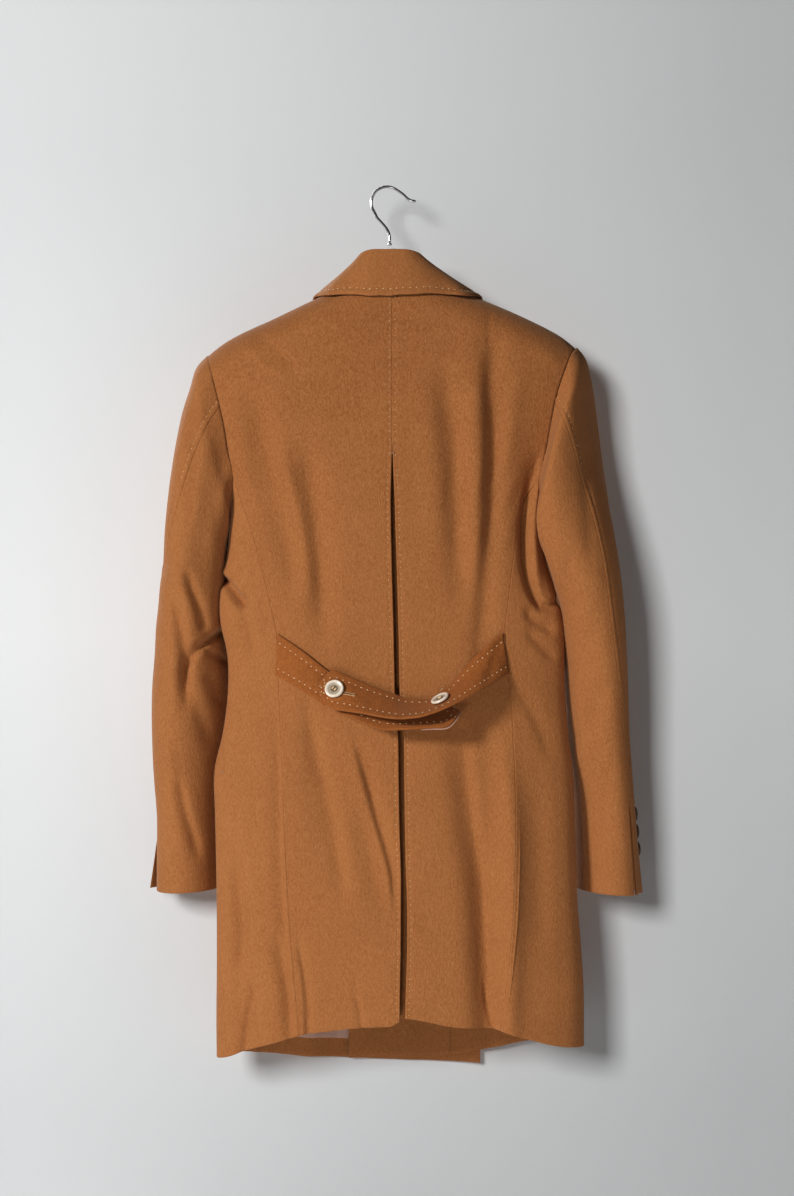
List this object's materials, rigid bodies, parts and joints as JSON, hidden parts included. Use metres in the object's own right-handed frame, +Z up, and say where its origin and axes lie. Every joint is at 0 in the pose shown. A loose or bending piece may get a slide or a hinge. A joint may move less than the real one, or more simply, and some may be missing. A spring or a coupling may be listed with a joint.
{
  "type": "wool overcoat on a hanger",
  "caption": "Thigh-length double-breasted wool overcoat with a half belt and an open back pleat, hanging closed on a white hanger with a chrome hook.",
  "frame": {"origin": "inner crest of the hanger's hook, where a rail or peg bears on it", "axes": "+Z up; the coat's back faces -Y and its buttoned fronts face +Y; +X is the wearer's right"},
  "size_m": [0.6038, 0.216, 1.0871],
  "materials": {
    "wool": "brushed camel wool",
    "belt_wool": "brushed camel wool, darker",
    "satin": "smooth lining satin",
    "light_horn": "polished pale horn",
    "dark_horn": "polished dark horn",
    "white_lacquer": "white gloss",
    "chrome": "polished"
  },
  "bodies": {
    "root": {"back_left": "wool", "back_right": "wool", "pleat_underlay": "wool", "side_body_left": "wool", "side_body_right": "wool", "front_left": "wool", "front_right": "wool", "upper_sleeve_left": "wool", "upper_sleeve_right": "wool", "under_sleeve_left": "wool", "under_sleeve_right": "wool", "collar_fall": "wool", "collar_stand": "wool", "lapel_left": "wool", "lapel_right": "wool", "pocket_flap_left": "wool", "pocket_flap_right": "wool", "front_facing_right": "wool", "belt_tab_left": "belt_wool", "belt_tab_right": "belt_wool", "front_lining_left": "satin", "belt_button_1": "light_horn", "belt_button_2": "light_horn", "front_button_1": "dark_horn", "front_button_2": "dark_horn", "front_button_3": "dark_horn", "front_button_4": "dark_horn", "front_button_5": "dark_horn", "front_button_6": "dark_horn", "cuff_button_left_1": "dark_horn", "cuff_button_left_2": "dark_horn", "cuff_button_left_3": "dark_horn", "cuff_button_right_1": "dark_horn", "cuff_button_right_2": "dark_horn", "cuff_button_right_3": "dark_horn", "hanger": "white_lacquer", "hook_nut": "chrome", "hanger_hook": "chrome"}
  },
  "joints": []
}
